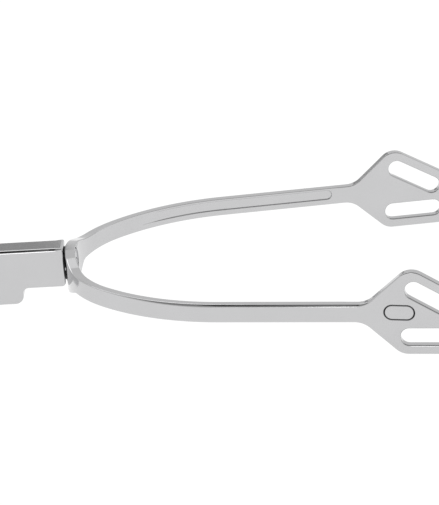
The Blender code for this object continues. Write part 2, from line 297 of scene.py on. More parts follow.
def band_corners(lower_corners):
    """Corners of the straight blank from the heel to one toe and back, and their mirror image."""
    rise = math.tan(math.radians(FLARE_ANGLE_TOP))
    drop = math.tan(math.radians(FLARE_ANGLE_BOTTOM))
    fall = math.tan(math.radians(PLATE_FALL))
    half_turn = math.radians(FLARE_ANGLE_TOP + PLATE_FALL) / 2
    lean = math.radians(FLARE_ANGLE_TOP - PLATE_FALL) / 2
    apex_z = PLATE_HALF_HEIGHT + APEX_RADIUS * (math.cos(lean) / math.cos(half_turn) - 1)
    apex_s = FLARE_START_TOP + (apex_z - ARM_HALF_HEIGHT) / rise
    toe_top = apex_z - (TOE_STATION - apex_s) * fall
    lower_s = FLARE_START_BOTTOM + (PLATE_HALF_HEIGHT - ARM_HALF_HEIGHT) / drop
    half = [
        (PAD_TOP_CORNERS[0], PAD_HALF_HEIGHT, PAD_TOP_FILLET),
        (PAD_TOP_CORNERS[1], ARM_HALF_HEIGHT, PAD_TOP_FILLET),
        (FLARE_START_TOP, ARM_HALF_HEIGHT, FLARE_FILLET),
        (apex_s, apex_z, APEX_RADIUS),
        (TOE_STATION, toe_top, TOE_RADIUS),
        (TOE_STATION, -PLATE_HALF_HEIGHT, TOE_RADIUS),
        (lower_s, -PLATE_HALF_HEIGHT, APEX_RADIUS),
        (FLARE_START_BOTTOM, -ARM_HALF_HEIGHT, FLARE_FILLET),
        (lower_corners[1], -ARM_HALF_HEIGHT, PAD_FILLET),
        (lower_corners[0], -PAD_HALF_HEIGHT, PAD_FILLET),
    ]
    return half + [(-s, z, radius) for s, z, radius in reversed(half)]


def unbent(x, y):
    """Station and offset in the blank of a point near the heel of the bent band."""
    return HEEL_RADIUS * math.atan2(y, HEEL_RADIUS - x), math.hypot(y, HEEL_RADIUS - x) - HEEL_RADIUS


def taper(station, at_heel, at_arm):
    """Value at a station of a size that changes from the heel to the arms."""
    share = eased((abs(station) - TAPER_START) / (TAPER_END - TAPER_START))
    return at_heel + (at_arm - at_heel) * share


def outer_surface(station, height, sink):
    """Offset of the outer face, with the flat land for the swivel at the heel."""
    offset = taper(station, HEEL_OUTER, ARM_OUTER)
    if abs(station) < 2 * LAND_RADIUS:
        turn = station / HEEL_RADIUS
        flat = (HEEL_RADIUS + HEEL_OUTER) / math.cos(turn) - HEEL_RADIUS
        side = (HEEL_RADIUS + HEEL_OUTER) * math.tan(turn)
        from_axis = math.hypot(side, height - SWIVEL_HEIGHT)
        share = eased((LAND_RADIUS + LAND_BLEND - from_axis) / LAND_BLEND)
        offset += share * (flat - offset)
    return offset - sink


def groove_depth(station, height):
    """Depth of the relief groove, which fades in along the arm and ends round."""
    along = abs(station)
    half = (GROOVE_END - GROOVE_START - GROOVE_WIDTH) / 2
    middle = (GROOVE_START + GROOVE_END) / 2
    past = max(abs(along - middle) - half, 0.0)
    from_edge = math.hypot(past, height - GROOVE_HEIGHT) - GROOVE_WIDTH / 2
    share = eased((GROOVE_BLEND - from_edge) / (2 * GROOVE_BLEND))
    return GROOVE_DEPTH * share * eased((along - GROOVE_START) / (GROOVE_FULL - GROOVE_START))


def inner_surface(station, height, sink):
    return sink + groove_depth(station, height) - taper(station, HEEL_INNER, ARM_INNER)


def outer_edge_radius(station, height):
    along = abs(station)
    share = eased((along - RIGHT_EDGE_START) / (RIGHT_EDGE_FULL - RIGHT_EDGE_START))
    share *= eased((RIGHT_EDGE_END + RIGHT_EDGE_FADE - along) / RIGHT_EDGE_FADE)
    if height < 0 or station > 0:
        share = 0.0
    return EDGE_RADIUS + (RIGHT_EDGE_RADIUS - EDGE_RADIUS) * share


def inner_edge_radius(station, height):
    along = abs(station)
    share = eased((along - GROOVE_START + LAND_FADE_IN) / LAND_FADE_IN)
    share *= eased((GROOVE_END + LAND_FADE_OUT - along) / LAND_FADE_OUT)
    if height < 0:
        share = 0.0
    return INNER_EDGE_RADIUS + (LAND_EDGE_RADIUS - INNER_EDGE_RADIUS) * share


def circle(radius, x, steps=56, on_face=None):
    """Circle round the swivel axis at this x of the bent band, as (outline, offsets) in the blank."""
    outline = []
    offsets = []
    for step in range(steps):
        around = 2 * math.pi * step / steps
        side = radius * math.cos(around)
        if on_face is not None:
            x = HEEL_RADIUS - math.sqrt((HEEL_RADIUS + on_face) ** 2 - side ** 2)
        station, offset = unbent(x, side)
        outline.append((station, SWIVEL_HEIGHT + radius * math.sin(around)))
        offsets.append(offset)
    return outline, offsets


blank = Plate()
outer_outline, straight_parts = outline_of(band_corners(PAD_LOWER_OUTER_CORNERS))
inner_outline, _ = outline_of(band_corners(PAD_LOWER_INNER_CORNERS), straight_parts)
outer_radii = [outer_edge_radius(*point) for point in outer_outline]
inner_radii = [inner_edge_radius(*point) for point in inner_outline]
outer_wall, outer_border = blank.rim(outer_outline, outer_radii, outer_surface)
inner_wall, inner_border = blank.rim(inner_outline, inner_radii, inner_surface)
blank.wall(outer_wall, inner_wall)

outer_holes = []
inner_holes = []
for side in (1, -1):
    for centre, tilt in ((UPPER_SLOT, -PLATE_FALL), (LOWER_SLOT, 0.0)):
        place = (side * centre[0], centre[1])
        slot_outline = stadium(place, SLOT_LENGTH, SLOT_WIDTH, side * tilt, 6)
        radii = [SLOT_EDGE_RADIUS] * len(slot_outline)
        outside, outside_border = blank.rim(slot_outline, radii, outer_surface, -1.0)
        inside, inside_border = blank.rim(slot_outline, radii, inner_surface, -1.0)
        blank.wall(outside, inside)
        outer_holes.append(outside_border)
        inner_holes.append(inside_border)

back_x = -HEEL_OUTER
bore_rings = [
    blank.loop(*circle(BORE_RADIUS + BORE_CHAMFER + HOLDING_GAP, back_x)),
    blank.loop(*circle(BORE_RADIUS + BORE_CHAMFER, back_x)),
    blank.loop(*circle(BORE_RADIUS, back_x + BORE_CHAMFER)),
    blank.loop(*circle(BORE_RADIUS, COUNTERBORE_FLOOR - BORE_CHAMFER)),
    blank.loop(*circle(BORE_RADIUS + BORE_CHAMFER, COUNTERBORE_FLOOR)),
    blank.loop(*circle(COUNTERBORE_RADIUS - HOLDING_GAP, COUNTERBORE_FLOOR)),
    blank.loop(*circle(COUNTERBORE_RADIUS, COUNTERBORE_FLOOR + HOLDING_GAP)),
    blank.loop(*circle(COUNTERBORE_RADIUS, 0.0, on_face=COUNTERBORE_CHAMFER - HEEL_INNER)),
    blank.loop(*circle(COUNTERBORE_RADIUS + COUNTERBORE_CHAMFER, 0.0, on_face=-HEEL_INNER)),
    blank.loop(*circle(COUNTERBORE_RADIUS + COUNTERBORE_CHAMFER + HOLDING_GAP, 0.0,
                       on_face=-HEEL_INNER)),
]
for ring, following in zip(bore_rings, bore_rings[1:]):
    blank.join(ring, following)
outer_holes.append(bore_rings[0])
inner_holes.append(bore_rings[-1])

groove_lines = []
for side in (1, -1):
    middle = (side * (GROOVE_START + GROOVE_END) / 2, GROOVE_HEIGHT)
    for step in (1.4, 1.0, 0.5, 0.0, -0.5, -1.0, -1.4):
        wider = 2 * step * GROOVE_BLEND
        length = GROOVE_END - GROOVE_START + wider
        path = stadium(middle, length, GROOVE_WIDTH + wider, 0.0, 56, 10)
        groove_lines.append(blank.loop(path, [inner_surface(p.x, p.y, 0.0) for p in path]))

stamp_lines = []
for across, share in ((0.62, 0), (0.5, 0), (0.25, 0.75), (0, 1), (-0.25, 0.75), (-0.5, 0), (-0.62, 0)):
    wider = 2 * across * STAMP_LINE
    path = stadium(STAMP_PLACE, STAMP_LENGTH + wider, STAMP_WIDTH + wider, STAMP_TILT, 12)
    stamp_lines.append(blank.loop(path, [ARM_OUTER - STAMP_DEPTH * share] * len(path)))

PAD_REACH = 9.3                     # stations up to which the mesh is finer
spots = []
for column in range(-20, 21):
    for row in range(-12, 13):
        spots.append((column * 0.45, row * 0.4))
for column in range(-56, 57):
    for row in range(-7, 8):
        station = column + 0.25 * (row % 2)
        if abs(station) > PAD_REACH:
            spots.append((station, row * 0.7))
blank.fill(outer_border, outer_holes, stamp_lines, spots, outer_surface)
blank.fill(inner_border, inner_holes, groove_lines, spots, inner_surface)
heel_band = blank.build("heel_band_forging")


def add(tree, kind, inputs=None, **settings):
    """One node with its settings, and for each input a value or the socket that feeds it."""
    node = tree.nodes.new(kind)
    for name, value in settings.items():
        setattr(node, name, value)
    for key, value in (inputs or {}).items():
        if isinstance(value, bpy.types.NodeSocket):
            tree.links.new(value, node.inputs[key])
        else:
            node.inputs[key].default_value = value
    return node


def linear(hex_colour):
    """Linear RGBA from an sRGB hex colour."""
    channels = [int(hex_colour[i:i + 2], 16) / 255 for i in (1, 3, 5)]
    return (*[c / 12.92 if c <= 0.04045 else ((c + 0.055) / 1.055) ** 2.4 for c in channels], 1.0)


MIX_FROM = 6                        # colour sockets of a mix node
MIX_TO = 7
MIX_RESULT = 2


def new_material(name):
    material = bpy.data.materials.new(name)
    material.use_nodes = True
    tree = material.node_tree
    tree.nodes.clear()
    shader = add(tree, "ShaderNodeBsdfPrincipled")
    add(tree, "ShaderNodeOutputMaterial", {"Surface": shader.outputs[0]})
    return material, tree, shader


def buffed_stainless(name, attribute):
    """Stainless steel buffed bright on a mop: fine lines along the piece, a slightly uneven
    gloss, and the faint waviness that hand polishing leaves, so reflections are not perfect."""
    material, tree, shader = new_material(name)
    if attribute:
        place = add(tree, "ShaderNodeAttribute", attribute_name=attribute).outputs["Vector"]
    else:
        own = add(tree, "ShaderNodeTexCoord").outputs["Object"]
        place = add(tree, "ShaderNodeMapping", {"Vector": own, "Scale": (1000, 1000, 1000)}).outputs[0]
    line_length = 16.0
    line_width = 0.3                # real ones are a tenth of this, too fine to show
    wave_length = 8.0
    cloud_length = 12.0
    stretched = add(tree, "ShaderNodeMapping", {
        "Vector": place,
        "Scale": (1 / line_length, 1 / line_width, 1 / line_width)})
    lines = add(tree, "ShaderNodeTexNoise", {
        "Vector": stretched.outputs[0], "Scale": 1.0, "Detail": 3.0, "Roughness": 0.65})
    waves = add(tree, "ShaderNodeTexNoise", {
        "Vector": place, "Scale": 1 / wave_length, "Detail": 1.0})
    clouds = add(tree, "ShaderNodeTexNoise", {
        "Vector": place, "Scale": 1 / cloud_length, "Detail": 4.0, "Roughness": 0.6})
    colour = add(tree, "ShaderNodeMix", {
        0: clouds.outputs["Fac"], MIX_FROM: linear("#C2C2C3"), MIX_TO: linear("#C9C9CA")},
        data_type="RGBA").outputs[MIX_RESULT]
    haze = add(tree, "ShaderNodeMath", {
        0: clouds.outputs["Fac"], 1: lines.outputs["Fac"]}, operation="MULTIPLY")
    gloss = add(tree, "ShaderNodeMapRange", {
        "Value": haze.outputs[0], "From Min": 0.1, "From Max": 0.45, "To Min": 0.06, "To Max": 0.16})
    fine = add(tree, "ShaderNodeBump", {
        "Height": lines.outputs["Fac"], "Strength": 1.0, "Distance": 0.8e-6})
    soft = add(tree, "ShaderNodeBump", {
        "Height": waves.outputs["Fac"], "Strength": 1.0, "Distance": 8e-6,
        "Normal": fine.outputs[0]})
    if attribute:
        # Painted shade darkening the stamped line as a recess: inside the frame's box and below the face
        middle = (STAMP_PLACE[0], 0.0, STAMP_PLACE[1])
        off = add(tree, "ShaderNodeVectorMath", {0: place, 1: middle}, operation="SUBTRACT").outputs[0]
        parts = add(tree, "ShaderNodeSeparateXYZ", {0: off}).outputs
        along = add(tree, "ShaderNodeMath", {0: parts["X"], 1: 0.0, 2: STAMP_LENGTH / 2 + STAMP_LINE},
                    operation="COMPARE").outputs[0]
        above = add(tree, "ShaderNodeMath", {0: parts["Z"], 1: 0.0, 2: STAMP_WIDTH / 2 + STAMP_LINE},
                    operation="COMPARE").outputs[0]
        below = add(tree, "ShaderNodeMapRange", {
            "Value": parts["Y"], "From Min": ARM_OUTER - STAMP_SHADE_START,
            "From Max": ARM_OUTER - STAMP_SHADE_FULL, "To Min": 0.0, "To Max": STAMP_SHADE_SHARE}).outputs[0]
        outside = add(tree, "ShaderNodeMath", {0: parts["Y"], 1: 0.5}, operation="GREATER_THAN").outputs[0]
        share = add(tree, "ShaderNodeMath", {0: along, 1: above}, operation="MULTIPLY").outputs[0]
        share = add(tree, "ShaderNodeMath", {0: share, 1: outside}, operation="MULTIPLY").outputs[0]
        share = add(tree, "ShaderNodeMath", {0: share, 1: below}, operation="MULTIPLY").outputs[0]
        # mixes in the dark colour of the painted shade in the stamped line
        colour = add(tree, "ShaderNodeMix", {
            0: share, MIX_FROM: colour, MIX_TO: linear("#3A3A3B")},
            data_type="RGBA").outputs[MIX_RESULT]
    tree.links.new(colour, shader.inputs["Base Color"])
    tree.links.new(gloss.outputs[0], shader.inputs["Roughness"])
    tree.links.new(soft.outputs[0], shader.inputs["Normal"])
    shader.inputs["Metallic"].default_value = 1.0
    return material


def bending_tree(material):
    """Bends a straight blank in millimetres to the U and puts it in its place in metres."""
    tree = bpy.data.node_groups.new("bend_to_heel", "GeometryNodeTree")
    tree.interface.new_socket("Blank", in_out="INPUT", socket_type="NodeSocketGeometry")
    for name in ("Heel Radius", "Heel Sweep", "Side Radius", "Toe Splay"):
        tree.interface.new_socket(name, in_out="INPUT", socket_type="NodeSocketFloat")
    tree.interface.new_socket("Heel Place", in_out="INPUT", socket_type="NodeSocketVector")
    tree.interface.new_socket("Band", in_out="OUTPUT", socket_type="NodeSocketGeometry")
    given = add(tree, "NodeGroupInput").outputs
    place = add(tree, "GeometryNodeInputPosition").outputs[0]
    parts = add(tree, "ShaderNodeSeparateXYZ", {0: place}).outputs
    value = {name: given[name] for name in ("Heel Radius", "Heel Sweep", "Side Radius", "Toe Splay")}
    value.update({"blank x": parts["X"], "blank y": parts["Y"]})
    steps = (
        ("station", "ABSOLUTE", "blank x"),
        ("side", "SIGN", "blank x"),
        ("sweep", "RADIANS", "Heel Sweep"),
        ("last heading", "SUBTRACT", 90.0, "Toe Splay"),
        ("last heading", "RADIANS", "last heading"),
        ("heel end", "MULTIPLY", "Heel Radius", "sweep"),
        ("side sweep", "SUBTRACT", "last heading", "sweep"),
        ("side end", "MULTIPLY_ADD", "Side Radius", "side sweep", "heel end"),
        ("turn", "MINIMUM", "station", "heel end"),
        ("turn", "DIVIDE", "turn", "Heel Radius"),
        ("on side", "MINIMUM", "station", "side end"),
        ("on side", "SUBTRACT", "on side", "heel end"),
        ("on side", "MAXIMUM", "on side", 0.0),
        ("heading", "DIVIDE", "on side", "Side Radius"),
        ("heading", "ADD", "turn", "heading"),
        ("straight", "SUBTRACT", "station", "side end"),
        ("straight", "MAXIMUM", "straight", 0.0),
        ("cos turn", "COSINE", "turn"),
        ("sin turn", "SINE", "turn"),
        ("cos heading", "COSINE", "heading"),
        ("sin heading", "SINE", "heading"),
        ("x", "SUBTRACT", 1.0, "cos turn"),
        ("x", "MULTIPLY", "Heel Radius", "x"),
        ("side x", "SUBTRACT", "cos turn", "cos heading"),
        ("x", "MULTIPLY_ADD", "Side Radius", "side x", "x"),
        ("x", "MULTIPLY_ADD", "straight", "sin heading", "x"),
        ("across x", "MULTIPLY", "cos heading", "blank y"),
        ("x", "SUBTRACT", "x", "across x"),
        ("y", "MULTIPLY", "Heel Radius", "sin turn"),
        ("side y", "SUBTRACT", "sin heading", "sin turn"),
        ("y", "MULTIPLY_ADD", "Side Radius", "side y", "y"),
        ("y", "MULTIPLY_ADD", "straight", "cos heading", "y"),
        ("y", "MULTIPLY_ADD", "sin heading", "blank y", "y"),
        ("y", "MULTIPLY", "y", "side"))
    for name, operation, *terms in steps:
        inputs = {slot: value.get(term, term) for slot, term in enumerate(terms)}
        value[name] = add(tree, "ShaderNodeMath", inputs, operation=operation).outputs[0]
    bent = add(tree, "ShaderNodeCombineXYZ", {"X": value["x"], "Y": value["y"], "Z": parts["Z"]})
    sized = add(tree, "ShaderNodeVectorMath", {0: bent.outputs[0], "Scale": MM}, operation="SCALE")
    placed = add(tree, "ShaderNodeVectorMath", {0: sized.outputs[0], 1: given["Heel Place"]},
                 operation="ADD")
    kept = add(tree, "GeometryNodeStoreNamedAttribute", {
        "Geometry": given["Blank"], "Name": "along_band", "Value": place},
        data_type="FLOAT_VECTOR", domain="POINT")
    formed = add(tree, "GeometryNodeSetPosition", {
        "Geometry": kept.outputs[0], "Position": placed.outputs[0]})
    real = add(tree, "GeometryNodeRealizeInstances", {0: formed.outputs[0]})
    finished = add(tree, "GeometryNodeSetMaterial", {"Geometry": real.outputs[0], "Material": material})
    add(tree, "NodeGroupOutput", {0: finished.outputs[0]})
    return tree


def shape_with(piece, tree, values):
    """Run a node tree on a piece with its named inputs, and keep only the finished mesh."""
    modifier = piece.modifiers.new(tree.name, "NODES")
    modifier.node_group = tree
    for socket in tree.interface.items_tree:
        if socket.in_out == "INPUT" and socket.name in values:
            modifier[socket.identifier] = values[socket.name]
    bpy.context.view_layer.update()
    scene_state = bpy.context.evaluated_depsgraph_get()
    finished = bpy.data.meshes.new_from_object(piece.evaluated_get(scene_state))
    piece.modifiers.remove(modifier)
    piece.data = finished


def finish_shading(piece, sharp_angle=35.0):
    piece.data.shade_smooth()
    piece.data.set_sharp_from_angle(angle=math.radians(sharp_angle))


band_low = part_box("heel_band")[0]
heel_place = Vector((band_low.x + HEEL_OUTER * MM, 0.0, band_low.z + PLATE_HALF_HEIGHT * MM))
band_steel = buffed_stainless("buffed_stainless_band", "along_band")
shape_with(heel_band, bending_tree(band_steel), {
    "Heel Radius": HEEL_RADIUS, "Heel Sweep": HEEL_SWEEP, "Side Radius": SIDE_RADIUS,
    "Toe Splay": TOE_SPLAY, "Heel Place": heel_place})
finish_shading(heel_band)
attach(heel_band, "heel_yoke")
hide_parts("heel_band")

# ================================================================= pivot bush
# A sintered bronze sleeve is pressed into the bore of the band. The pivot screw's plain journal
# turns in it. It is turned on a lathe, with a small chamfer at each end.

JOURNAL_RADIUS = 2.0
BUSH_WALL = 0.47
BUSH_CHAMFER = 0.1


def turned(name, rings, axis_height, closed=True, sides=56):
    """Lathe-turned piece along X: rings are (x, radius) in metres, or (x, radius, flats)."""
    builder = bmesh.new()
    loops = []
    for ring in rings:
        x, radius = ring[:2]
        flats = ring[2] if len(ring) > 2 else 0
        loop = []
        for step in range(sides):
            around = 2 * math.pi * step / sides
            reach = radius
            if flats:
                sector = 2 * math.pi / flats
                reach = radius / math.cos((around % sector) - sector / 2)
            loop.append(builder.verts.new((x, reach * math.sin(around),
                                           axis_height + reach * math.cos(around))))
        loops.append(loop)
    count = len(loops) if closed else len(loops) - 1
    for index in range(count):
        near = loops[index]
        far = loops[(index + 1) % len(loops)]
        for step in range(sides):
            after = (step + 1) % sides
            builder.faces.new((near[step], near[after], far[after], far[step]))
    if not closed:
        builder.faces.new(loops[0])
        builder.faces.new(loops[-1])
    bmesh.ops.recalc_face_normals(builder, faces=builder.faces)
    mesh = bpy.data.meshes.new(name)
    builder.to_mesh(mesh)
    builder.free()
    piece = bpy.data.objects.new(name, mesh)
    bpy.context.scene.collection.objects.link(piece)
    return piece


def turned_metal(name, dark_hex, light_hex, roughness, line_width, depth):
    """Lathe-turned metal: rings of fine tool marks round X, and a slightly cloudy tone."""
    material, tree, shader = new_material(name)
    own = add(tree, "ShaderNodeTexCoord").outputs["Object"]
    marks_place = add(tree, "ShaderNodeMapping", {
        "Vector": own, "Scale": (1000 / line_width, 30, 30)})
    marks = add(tree, "ShaderNodeTexNoise", {
        "Vector": marks_place.outputs[0], "Scale": 1.0, "Detail": 2.0})
    clouds = add(tree, "ShaderNodeTexNoise", {"Vector": own, "Scale": 700.0, "Detail": 3.0})
    tone = add(tree, "ShaderNodeMix", {
        0: clouds.outputs["Fac"], MIX_FROM: linear(dark_hex), MIX_TO: linear(light_hex)},
        data_type="RGBA")
    gloss = add(tree, "ShaderNodeMapRange", {
        "Value": marks.outputs["Fac"], "From Min": 0.3, "From Max": 0.7,
        "To Min": roughness * 0.8, "To Max": roughness * 1.25})
    bump = add(tree, "ShaderNodeBump", {
        "Height": marks.outputs["Fac"], "Strength": 1.0, "Distance": depth})
    tree.links.new(tone.outputs[MIX_RESULT], shader.inputs["Base Color"])
    tree.links.new(gloss.outputs[0], shader.inputs["Roughness"])
    tree.links.new(bump.outputs[0], shader.inputs["Normal"])
    shader.inputs["Metallic"].default_value = 1.0
    return material


def chamfered_ring(low_x, high_x, inner, outer, chamfer):
    """Profile of a plain ring with its four corners chamfered, all in metres."""
    return [
        (low_x, inner + chamfer), (low_x, outer - chamfer), (low_x + chamfer, outer),
        (high_x - chamfer, outer), (high_x, outer - chamfer), (high_x, inner + chamfer),
        (high_x - chamfer, inner), (low_x + chamfer, inner)]


bush_low, bush_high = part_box("pivot_bush")
swivel_z = (bush_low.z + bush_high.z) / 2
bush_outer = (bush_high.z - bush_low.z) / 2
pivot_bush = turned("pivot_bush_sleeve", chamfered_ring(
    bush_low.x, bush_high.x, bush_outer - BUSH_WALL * MM, bush_outer, BUSH_CHAMFER * MM), swivel_z)
pivot_bush.data.materials.append(
    turned_metal("sintered_bronze", "#B08A55", "#C49C63", 0.34, 0.08, 2e-6))
finish_shading(pivot_bush)
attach(pivot_bush, "heel_yoke")
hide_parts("pivot_bush")

# ================================================================= disc spring
# A conical spring washer lies in the counterbore under the screw's head and keeps a steady drag
# on the swivel. It is stamped from hardened spring steel and phosphated dark grey.

SPRING_THICKNESS = 0.25
SPRING_RISE = 0.15
SPRING_HOLE_RADIUS = 2.16
SPRING_EDGE = 0.05

spring_low, spring_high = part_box("disc_spring")
spring_outer = (spring_high.z - spring_low.z) / 2
spring_profile = [
    (spring_low.x, spring_outer - SPRING_EDGE * MM),
    (spring_low.x + SPRING_EDGE * MM, spring_outer),
    (spring_low.x + (SPRING_THICKNESS - SPRING_EDGE) * MM, spring_outer),
    (spring_low.x + SPRING_THICKNESS * MM, spring_outer - SPRING_EDGE * MM),
    (spring_high.x, (SPRING_HOLE_RADIUS + SPRING_EDGE) * MM),
    (spring_high.x - SPRING_EDGE * MM, SPRING_HOLE_RADIUS * MM),
    (spring_low.x + (SPRING_RISE + SPRING_EDGE) * MM, SPRING_HOLE_RADIUS * MM),
    (spring_low.x + SPRING_RISE * MM, (SPRING_HOLE_RADIUS + SPRING_EDGE) * MM)]
disc_spring = turned("disc_spring_washer", spring_profile, swivel_z)
disc_spring.data.materials.append(
    turned_metal("phosphated_spring_steel", "#6E6E70", "#808083", 0.38, 0.05, 1e-6))
finish_shading(disc_spring)
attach(disc_spring, "heel_yoke")
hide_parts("disc_spring")

# ================================================================= friction washer
# The thin black ring between the band and the shank is acetal, turned from bar. It lets the
# shank swivel without metal rubbing on metal, and shows as a dark line in the gap.

WASHER_EDGE = 0.08
WASHER_HOLE_RADIUS = 2.16
TURNING_MARK = 0.12


def turned_acetal(name):
    """Black acetal off the lathe: satin, with faint concentric tool marks and soft sheen."""
    material, tree, shader = new_material(name)
    own = add(tree, "ShaderNodeTexCoord").outputs["Object"]
    marks_place = add(tree, "ShaderNodeMapping", {
        "Vector": own, "Scale": (1000 / TURNING_MARK, 60, 60)})
    marks = add(tree, "ShaderNodeTexNoise", {"Vector": marks_place.outputs[0], "Scale": 1.0})
    tone = add(tree, "ShaderNodeMix", {
        0: marks.outputs["Fac"], MIX_FROM: linear("#121213"), MIX_TO: linear("#1E1E20")},
        data_type="RGBA")
    gloss = add(tree, "ShaderNodeMapRange", {
        "Value": marks.outputs["Fac"], "To Min": 0.38, "To Max": 0.52})
    bump = add(tree, "ShaderNodeBump", {
        "Height": marks.outputs["Fac"], "Strength": 1.0, "Distance": 4e-6})
    tree.links.new(tone.outputs[MIX_RESULT], shader.inputs["Base Color"])
    tree.links.new(gloss.outputs[0], shader.inputs["Roughness"])
    tree.links.new(bump.outputs[0], shader.inputs["Normal"])
    shader.inputs["IOR"].default_value = 1.48
    return material


washer_low, washer_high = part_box("friction_washer")
washer_outer = (washer_high.z - washer_low.z) / 2
friction_washer = turned("friction_washer_ring", chamfered_ring(
    washer_low.x, washer_high.x, WASHER_HOLE_RADIUS * MM, washer_outer, WASHER_EDGE * MM), swivel_z)
friction_washer.data.materials.append(turned_acetal("turned_black_acetal"))
finish_shading(friction_washer)
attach(friction_washer, "heel_yoke")
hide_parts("friction_washer")

# ================================================================= shank
# The shank is a rectangular bar of the same stainless steel with a hammer head that hangs below
# its neck. It is milled, ground and buffed like the band, and drilled for the two screws.

HEAD_LENGTH = 12.35
HEAD_DROP = 4.25
HEAD_CORNER_RADIUS = 2.2
NECK_FILLET = 1.5
FRONT_TOP_RADIUS = 0.6
FRONT_BOTTOM_RADIUS = 1.0
SHANK_EDGE_RADIUS = 0.85            # broken and buffed along its length
SHANK_END_EDGE_RADIUS = 0.3         # crisper round the front face and underneath
EDGE_FADE_FRONT = (0.2, 1.4)        # distances over which it grows to the full radius
EDGE_FADE_BOTTOM = (1.0, 3.0)
SHANK_HOLE_RADIUS = 2.12
SHANK_HOLE_DEPTH = 10.0
SIDE_HOLE_RADIUS = 1.57
SIDE_HOLE_DEPTH = 4.35
DRILL_FLARE = 0.3                   # each hole is broken at its mouth
DRILL_START = 0.15                  # the drill begins this far outside the bar
GRUB_STATION = 5.0

shank_low, shank_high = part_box("shank")
shank_half_width = (shank_high.y - shank_low.y) / 2 / MM
back, front = shank_low.x / MM, shank_high.x / MM
head_bottom, shank_top = shank_low.z / MM, shank_high.z / MM
neck_bottom = head_bottom + HEAD_DROP
neck_back = back + HEAD_LENGTH


def near_side(x, z, sink):
    return sink - shank_half_width


def far_side(x, z, sink):
    return shank_half_width - sink


def bar_edge_radius(x, z):
    """Full along the top, and small round the front face and underneath."""
    start, full = EDGE_FADE_FRONT
    from_front = eased((front - x - start) / (full - start))
    start, full = EDGE_FADE_BOTTOM
    from_bottom = eased((z - neck_bottom - start) / (full - start))
    share = min(from_front, from_bottom)
    return SHANK_END_EDGE_RADIUS + (SHANK_EDGE_RADIUS - SHANK_END_EDGE_RADIUS) * share


bar = Plate()
bar_outline, _ = outline_of([
    (front, shank_top, FRONT_TOP_RADIUS),
    (front, neck_bottom, FRONT_BOTTOM_RADIUS),
    (neck_back, neck_bottom, NECK_FILLET),
    (neck_back, head_bottom, HEAD_CORNER_RADIUS),
    (back, head_bottom, HEAD_CORNER_RADIUS),
    (back, shank_top, NECK_FILLET)], spacing=1.5)
bar_radii = [bar_edge_radius(x, z) for x, z in bar_outline]
near_wall, near_border = bar.rim(bar_outline, bar_radii, near_side)
far_wall, far_border = bar.rim(bar_outline, bar_radii, far_side)
bar.wall(near_wall, far_wall)
bar.fill(near_border, [], [], [], near_side)
bar.fill(far_border, [], [], [], far_side)
shank = bar.build("shank_bar")
shank.data.transform(Matrix.Scale(MM, 4))

long_hole = turned("long_hole", [
    ((front - SHANK_HOLE_DEPTH) * MM, SHANK_HOLE_RADIUS * MM),
    ((front - DRILL_START) * MM, SHANK_HOLE_RADIUS * MM),
    ((front + DRILL_START) * MM, (SHANK_HOLE_RADIUS + DRILL_FLARE) * MM)], swivel_z, closed=False)
side_hole = turned("side_hole", [
    (0.0, (SIDE_HOLE_RADIUS + DRILL_FLARE) * MM), (DRILL_FLARE * MM, SIDE_HOLE_RADIUS * MM),
    ((SIDE_HOLE_DEPTH + DRILL_START) * MM, SIDE_HOLE_RADIUS * MM)], 0.0, closed=False, sides=40)
side_hole.data.transform(
    Matrix.Translation(((front - GRUB_STATION) * MM, 0.0, (neck_bottom - DRILL_START) * MM))
    @ Matrix.Rotation(-math.pi / 2, 4, "Y"))
for tool in (long_hole, side_hole):
    cut = shank.modifiers.new("drill", "BOOLEAN")
    cut.operation = "DIFFERENCE"
    cut.solver = "EXACT"
    cut.object = tool
bpy.context.view_layer.update()
drilled = bpy.data.meshes.new_from_object(
    shank.evaluated_get(bpy.context.evaluated_depsgraph_get()))
shank.modifiers.clear()
shank.data = drilled
bpy.data.objects.remove(long_hole)
bpy.data.objects.remove(side_hole)
shank.data.materials.clear()
shank.data.materials.append(buffed_stainless("buffed_stainless_shank", None))
finish_shading(shank)
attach(shank, "swivel_shank")
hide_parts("shank")

# ================================================================= pivot screw
# A low-head socket screw of A2 stainless passes through the spring, the bush and the washer and
# threads into the shank. It is cold-headed, with a rolled thread and a 2.5 mm hex socket.

SCREW_CHAMFER = 0.2
SCREW_HEAD_THICKNESS = 0.75
SOCKET_ACROSS_FLATS = 2.5
SOCKET_DEPTH = 2.0
SOCKET_POINT = 0.3                  # the drill's cone below the socket
SMALL_BREAK = 0.05
NECK_BREAK = 0.1
SOCKET_MOUTH = 0.12
THREAD_LENGTH = 8.6
THREAD_PITCH = 0.7
THREAD_DEPTH = 0.4
THREAD_STEPS = 8


